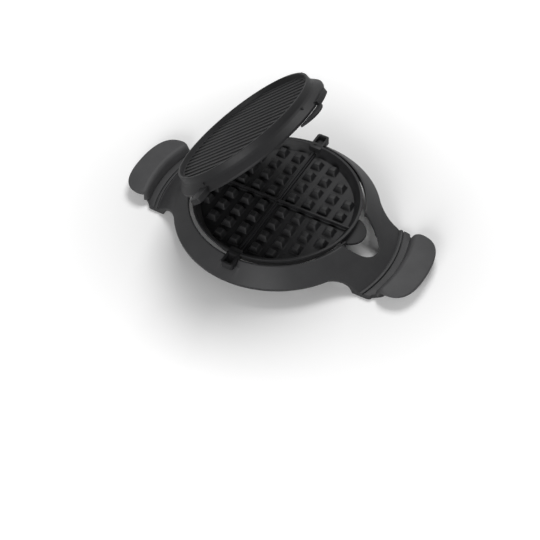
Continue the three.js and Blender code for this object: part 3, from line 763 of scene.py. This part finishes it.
def sandwich_ridges():
    """Low round-topped bars on the sandwich face, square to the hinge."""
    pitch, base, crest, height = 10.0, 4.2, 2.0, 1.4
    radius = RIM_IN - 1.4
    count = 2 * int((radius - base) // pitch) + 1
    bars = []
    for k in range(count):
        y = (k - (count - 1) / 2) * pitch
        length = 2 * math.sqrt(radius ** 2 - (abs(y) + base / 2) ** 2) - 0.4
        rest_tools()
        bpy.ops.mesh.primitive_cube_add(size=1, location=place(0, y, SANDWICH_FLOOR - height / 2 + 0.3))
        bpy.ops.object.mode_set(mode="EDIT")
        bpy.ops.transform.resize(value=(mm(length), mm(base), mm(height + 0.6)))
        pick("FACE", lambda part, at: part.normal.z < -0.9)
        bpy.ops.transform.resize(value=((length - 4) / length, crest / base, 1))
        pick("EDGE", lambda part, at: at.z < SANDWICH_FLOOR - 0.05)
        bpy.ops.mesh.bevel(offset=mm(0.55), segments=3, affect="EDGES")
        bars.append(settled(bpy.context.active_object))
    return bars


def lug(depth):
    """Square lug at +Y, hollow from the side where the plates meet."""
    half, wall, corner = LUG_WIDTH / 2, 3.2, 3.5
    piece = block("lug", (-half, WAIST + 1, -depth), (half, LUG_REACH, -SEAT / 2), soft=0)
    edit(piece)
    pick("EDGE", lambda part, at: at.y > LUG_REACH - 1 and abs(at.x) > half - 0.1)
    bpy.ops.mesh.bevel(offset=mm(corner), segments=5, affect="EDGES")
    rest_tools()
    pocket = block("pocket", (-half + wall, PLATE + wall, -SEAT / 2 - 0.67 * depth),
                   (half - wall, LUG_REACH - wall, 2), soft=0)
    edit(pocket)
    pick("EDGE", lambda part, at: at.y > LUG_REACH - wall - 1 and abs(at.x) > half - wall - 0.1)
    bpy.ops.mesh.bevel(offset=mm(1.6), segments=4, affect="EDGES")
    rest_tools()
    combined(piece, pocket, "DIFFERENCE")
    return softened_edges(piece, 0.5)


def plate_body(lug_depth):
    """What both plates have: the dish, two lugs, studs, cross ribs and ridges."""
    near_lug = lug(lug_depth)
    parts = [plate_shell(), near_lug, copy_of(near_lug, HALF_TURN)]
    return parts + studs() + cross_ribs() + sandwich_ridges()


def tab_disc(centre, radius, low, high, soft):
    """Disc with rounded edges, most of which ends up inside the plate."""
    rest_tools()
    bpy.ops.mesh.primitive_cylinder_add(
        vertices=TAB_STEPS, radius=mm(radius), depth=mm(high - low),
        location=place(centre, 0, (low + high) / 2))
    piece = bpy.context.active_object
    bpy.ops.object.mode_set(mode="EDIT")
    pick("FACE", lambda part, at: len(part.verts) > 4)
    bpy.ops.mesh.region_to_loop()
    bpy.ops.mesh.bevel(offset=mm(soft), segments=3, affect="EDGES")
    return settled(piece)


GUARD_IN = PLATE + 0.9
GUARD_OUT = GUARD_IN + 3.0
GUARD_DROP = 5.4
GUARD_SPAN = 24         # degrees
LID_GUARD_SPAN = 18
TAB_CENTRE = 106.7
TAB_RADIUS = 23.6
TAB_TOP = -9.4
TAB_THICKNESS = 3.8
TAB_FALL = 3.4          # how much lower the tip is than the root
LID_TAB_CENTRE = 101.8
LID_TAB_RADIUS = 26.0
LID_TAB_TOP = 2.5
LID_TAB_THICKNESS = 3.0


def lift_tab():
    """The lower plate's round tab, falling away to its tip, with the low arc wall at its root."""
    tab = tab_disc(TAB_CENTRE, TAB_RADIUS, TAB_TOP - TAB_THICKNESS, TAB_TOP, 1.1)
    edit(tab)
    bpy.ops.mesh.select_all(action="SELECT")
    tilt = math.atan2(TAB_FALL, TAB_CENTRE + TAB_RADIUS - WAIST)
    bpy.ops.transform.rotate(value=-tilt, orient_axis="Y", center_override=place(WAIST, 0, TAB_TOP))
    settled(tab)
    combined(tab, plug(WAIST + 1), "DIFFERENCE")
    wall = arc_wall("guard", softened([
        (GUARD_IN, -14.4, 0), (GUARD_OUT, -14.4, 0),
        (GUARD_OUT, -GUARD_DROP, 1), (GUARD_IN, -GUARD_DROP, 1),
    ]), GUARD_SPAN)
    return [tab, wall]


def lid_tab():
    """The lid's round tab, which stands just past the parting face and hangs on an arc wall."""
    tab = tab_disc(LID_TAB_CENTRE, LID_TAB_RADIUS, LID_TAB_TOP - LID_TAB_THICKNESS, LID_TAB_TOP, 1.0)
    combined(tab, plug(GUARD_IN), "DIFFERENCE")
    wall = arc_wall("guard", softened([
        (GUARD_IN, -GUARD_DROP, 0.5), (GUARD_OUT, -GUARD_DROP, 1),
        (GUARD_OUT, 2, 0), (GUARD_IN, 2, 0.5),
    ]), LID_GUARD_SPAN)
    root = arc_wall("tab_root", softened([
        (WAIST + 1.5, -GUARD_DROP, 0), (GUARD_OUT - 1, -GUARD_DROP, 0), (GUARD_OUT - 1, -0.4, 0),
        (PLATE - 1, -0.4, 0),
    ]), LID_GUARD_SPAN)
    return [tab, wall, root]


EYE = 7.0
HOLE = 3.8
KNUCKLE_HALF = 13.0
EAR_IN = 13.6
EAR_OUT = 21.6
ARM_UNDER = -3.9


def hinge_eye(y0, y1, height):
    """Round eye with its hole, and the arm that carries it."""
    eye = rod("eye", EYE, y0, y1, HINGE_X, height, soft=0.6)
    combined(eye, rod("hole", HOLE, y0 - 2, y1 + 2, HINGE_X, height, soft=0), "DIFFERENCE")
    arm = block("arm", (HINGE_X + HOLE + 0.6, y0, ARM_UNDER), (-WAIST - 1, y1, -SEAT / 2), soft=0.5)
    return [eye, arm]


def make_lower_plate():
    parts = plate_body(LUG_DEPTH) + lift_tab()
    parts += hinge_eye(EAR_IN, EAR_OUT, -HINGE_DROP) + hinge_eye(-EAR_OUT, -EAR_IN, -HINGE_DROP)
    parts.append(block("ledge", (-122, -EAR_OUT, ARM_UNDER), (-WAIST - 1, EAR_OUT, -SEAT / 2)))
    plate = joined("lower_plate_casting", parts)
    plate.data.transform(Matrix.Translation(place(0, 0, PARTING)))
    return plate


def make_upper_plate():
    """The lid is the same casting turned over, with its own tab and a knuckle with a heel."""
    parts = plate_body(LID_LUG_DEPTH) + lid_tab() + hinge_eye(-KNUCKLE_HALF, KNUCKLE_HALF, HINGE_DROP)
    heel = block("heel", (-3, -10, 5), (3, 10, 12), soft=0.6)
    leaned = Matrix.Rotation(math.radians(-HEEL_LEAN), 4, "Y")
    heel.data.transform(Matrix.Translation(place(HINGE_X, 0, HINGE_DROP)) @ leaned)
    plate = joined("upper_plate_casting", parts + [heel])
    turned_over = Matrix.Rotation(math.pi, 4, "X")
    to_hinge = Matrix.Translation(place(-HINGE_X, 0, HINGE_DROP))
    opened = Matrix.Rotation(math.radians(-REST_ANGLE), 4, "Y")
    at_hinge = Matrix.Translation(place(HINGE_X, 0, HINGE_Z))
    plate.data.transform(at_hinge @ opened @ to_hinge @ turned_over)
    return plate


# Hinge pin, washers and clip

PIN = 3.5               # radius
PIN_GROOVE = 2.7
PIN_HEAD = 5.6
PIN_HEAD_DEPTH = 2.4
WASHER_THICKNESS = 1.2
CLIP_THICKNESS = 1.4
WASHER_IN = EAR_OUT + SEAT
CLIP_IN = WASHER_IN + WASHER_THICKNESS + SEAT


def small_turned(name, section):
    """A section of (radius, height) points spun about Z, laid along Y at the hinge."""
    piece = turned(name, section, steps=SMALL_STEPS)
    piece.data.transform(
        Matrix.Translation(place(HINGE_X, 0, HINGE_Z)) @ Matrix.Rotation(-math.pi / 2, 4, "X"))
    return piece


def make_pin():
    """Pin with a domed head at +Y and a groove for the clip at -Y."""
    end = CLIP_IN + CLIP_THICKNESS + 1.2
    groove_out, groove_in = -CLIP_IN - CLIP_THICKNESS - 0.15, -CLIP_IN + 0.15
    crown = CLIP_IN + PIN_HEAD_DEPTH
    return small_turned("hinge_pin_turned", softened([
        (0, -end, 0), (PIN, -end, 0.6),
        (PIN, groove_out, 0), (PIN_GROOVE, groove_out, 0),
        (PIN_GROOVE, groove_in, 0), (PIN, groove_in, 0),
        (PIN, CLIP_IN, 0), (PIN_HEAD, CLIP_IN, 0.3),
        (PIN_HEAD, crown - 0.9, 0.9), (3.0, crown, 1.5), (0, crown, 0),
    ]))


def make_washer(y0):
    y1 = y0 + WASHER_THICKNESS
    return small_turned("hinge_washer", softened(
        [(HOLE, y0, 0.15), (6.0, y0, 0.3), (6.0, y1, 0.3), (HOLE, y1, 0.15)]))


def make_clip():
    """Open ring that snaps into the pin's groove."""
    y0, y1 = -CLIP_IN - CLIP_THICKNESS, -CLIP_IN
    clip = small_turned("hinge_clip_ring", softened(
        [(3.0, y0, 0.2), (5.4, y0, 0.25), (5.4, y1, 0.25), (3.0, y1, 0.2)]))
    mouth = block("mouth", (HINGE_X - 8, y0 - 2, HINGE_Z - 3), (HINGE_X, y1 + 2, HINGE_Z + 3), soft=0)
    combined(clip, mouth, "DIFFERENCE")
    return softened_edges(clip, 0.15)


# Grip screws

SCREW_SHANK = 2.0       # radius
SCREW_HEAD = 3.8
SCREW_HEAD_TOP = 2.1
SCREW_HEAD_DEPTH = 1.6
SCREW_TIP = 15.2
SCREW_WASHER = 4.6
SCREW_WASHER_THICKNESS = 0.8


def make_screw():
    """Pan-head screw seen from below, with a cross recess."""
    low = SCREW_HEAD_TOP - SCREW_HEAD_DEPTH
    screw = turned("grip_screw", softened([
        (0, low, 0), (2.6, low, 1.5),
        (SCREW_HEAD, low + 0.6, 0.5), (SCREW_HEAD, SCREW_HEAD_TOP, 0.2),
        (SCREW_SHANK, SCREW_HEAD_TOP, 0), (SCREW_SHANK, SCREW_TIP, 0.5), (0, SCREW_TIP, 0),
    ]), steps=SMALL_STEPS)
    for turn in (0, math.pi / 2):
        slot_cut = block("slot", (-2.0, -0.35, low - 1), (2.0, 0.35, low + 0.9), soft=0)
        slot_cut.data.transform(Matrix.Rotation(turn, 4, "Z"))
        combined(screw, slot_cut, "DIFFERENCE")
    return screw


def make_screw_washer():
    low = SCREW_HEAD_TOP + SEAT
    high = low + SCREW_WASHER_THICKNESS
    return turned("grip_washer", softened([
        (SCREW_HOLE, low, 0.1), (SCREW_WASHER, low, 0.2),
        (SCREW_WASHER, high, 0.2), (SCREW_HOLE, high, 0.1),
    ]), steps=SMALL_STEPS)


# Assembly

finished(make_carrier(), "carrier", carrier_enamel, "carrier_ring", slot="carrier", angle=30)
finished(make_lower_plate(), "plates", plate_enamel, "lower_plate", slot="plates")
finished(make_upper_plate(), "lid", plate_enamel, "upper_plate", slot="plates")

grip = make_grip()
screw = make_screw()
screw_washer = make_screw_washer()
for side, turn in (("right", Matrix.Identity(4)), ("left", HALF_TURN)):
    moulding = copy_of(grip, turn, side + "_grip_moulding")
    finished(moulding, "carrier", grip_nylon, side + "_grip", slot="grips")
    for k, y in ((1, -SCREW_Y), (2, SCREW_Y)):
        spot = turn @ Matrix.Translation(place(SCREW_X, y, 0))
        finished(copy_of(screw, spot, f"{side}_screw_{k}"), "carrier", bright_zinc,
                 f"{side}_grip_screw_{k}", slot="fixings")
        finished(copy_of(screw_washer, spot, f"{side}_washer_{k}"), "carrier", bright_zinc,
                 f"{side}_grip_washer_{k}", slot="fixings")
for piece in (grip, screw, screw_washer):
    bpy.data.objects.remove(piece)

finished(make_pin(), "plates", bright_zinc, "hinge_pin", slot="hinge_steel")
finished(make_clip(), "plates", bright_zinc, "hinge_clip", slot="hinge_steel")
finished(make_washer(WASHER_IN), "plates", bright_zinc, "hinge_washer_head", slot="hinge_steel")
finished(make_washer(-WASHER_IN - WASHER_THICKNESS), "plates", bright_zinc, "hinge_washer_clip",
         slot="hinge_steel")


# Studio

def make_floor():
    """Plain pale floor that keeps the soft shadow."""
    rest_tools()
    bpy.ops.mesh.primitive_plane_add(size=12, location=(0, 0, -0.0002))
    floor = bpy.context.active_object
    floor.name = "floor"
    material, tree, shader = blank("pale_studio_paper")
    shader.inputs["Base Color"].default_value = colour("#f4f4f4")
    shader.inputs["Roughness"].default_value = 0.9
    shader.inputs["Specular IOR Level"].default_value = 0.1
    where = add_node(tree, "ShaderNodeTexCoord")
    away = add_node(tree, "ShaderNodeVectorMath", {0: where.outputs["Object"]}, operation="LENGTH")
    path = add_node(tree, "ShaderNodeLightPath")
    # The paper turns white away from the object, for the camera only
    glow = add_node(
        tree, "ShaderNodeMapRange",
        {"Value": away.outputs["Value"], "From Min": 0.13, "From Max": 0.8})
    seen = add_node(
        tree, "ShaderNodeMath",
        {0: glow.outputs["Result"], 1: path.outputs["Is Camera Ray"]}, operation="MULTIPLY")
    shader.inputs["Emission Color"].default_value = (1, 1, 1, 1)
    tree.links.new(seen.outputs["Value"], shader.inputs["Emission Strength"])
    floor.data.materials.append(material)


def make_lamp(name, location, target, size, power):
    """Square soft lamp that points at a spot."""
    data = bpy.data.lights.new(name, "AREA")
    data.shape = "SQUARE"
    data.size = size
    data.energy = power
    lamp = bpy.data.objects.new(name, data)
    bpy.context.collection.objects.link(lamp)
    lamp.location = location
    lamp.rotation_euler = (Vector(target) - Vector(location)).to_track_quat("-Z", "Y").to_euler()


def make_world():
    """Pale surroundings: white where the camera or a reflection sees them, softer as a light."""
    world = bpy.data.worlds.new("studio")
    bpy.context.scene.world = world
    world.use_nodes = True
    tree = world.node_tree
    tree.nodes.clear()
    path = add_node(tree, "ShaderNodeLightPath")
    mirrored = add_node(
        tree, "ShaderNodeMath",
        {0: path.outputs["Is Glossy Ray"], 1: path.outputs["Is Transmission Ray"]}, operation="MAXIMUM")
    seen = add_node(
        tree, "ShaderNodeMath",
        {0: path.outputs["Is Camera Ray"], 1: mirrored.outputs["Value"]}, operation="MAXIMUM")
    strength = add_node(
        tree, "ShaderNodeMapRange", {"Value": seen.outputs["Value"], "To Min": 0.12, "To Max": 1.0})
    background = add_node(
        tree, "ShaderNodeBackground", {"Color": (1, 1, 1, 1), "Strength": strength.outputs["Result"]})
    add_node(tree, "ShaderNodeOutputWorld", {"Surface": background.outputs["Background"]})


def make_camera():
    data = bpy.data.cameras.new("camera")
    data.sensor_width = 36.0
    data.lens = 75.39
    camera = bpy.data.objects.new("camera", data)
    bpy.context.collection.objects.link(camera)
    camera.location = (0.51384, -0.91177, 1.13367)
    camera.rotation_euler = (math.radians(40.309), math.radians(0.606), math.radians(29.32))
    bpy.context.scene.camera = camera


make_floor()
make_world()
make_lamp("front", (0.3, -1.5, 0.6), (0, 0, 0.02), 0.8, 20)
make_lamp("overhead", (-0.15, 0.75, 1.5), (0, 0, 0), 0.8, 17)
make_camera()
bpy.context.scene.view_settings.view_transform = "Standard"
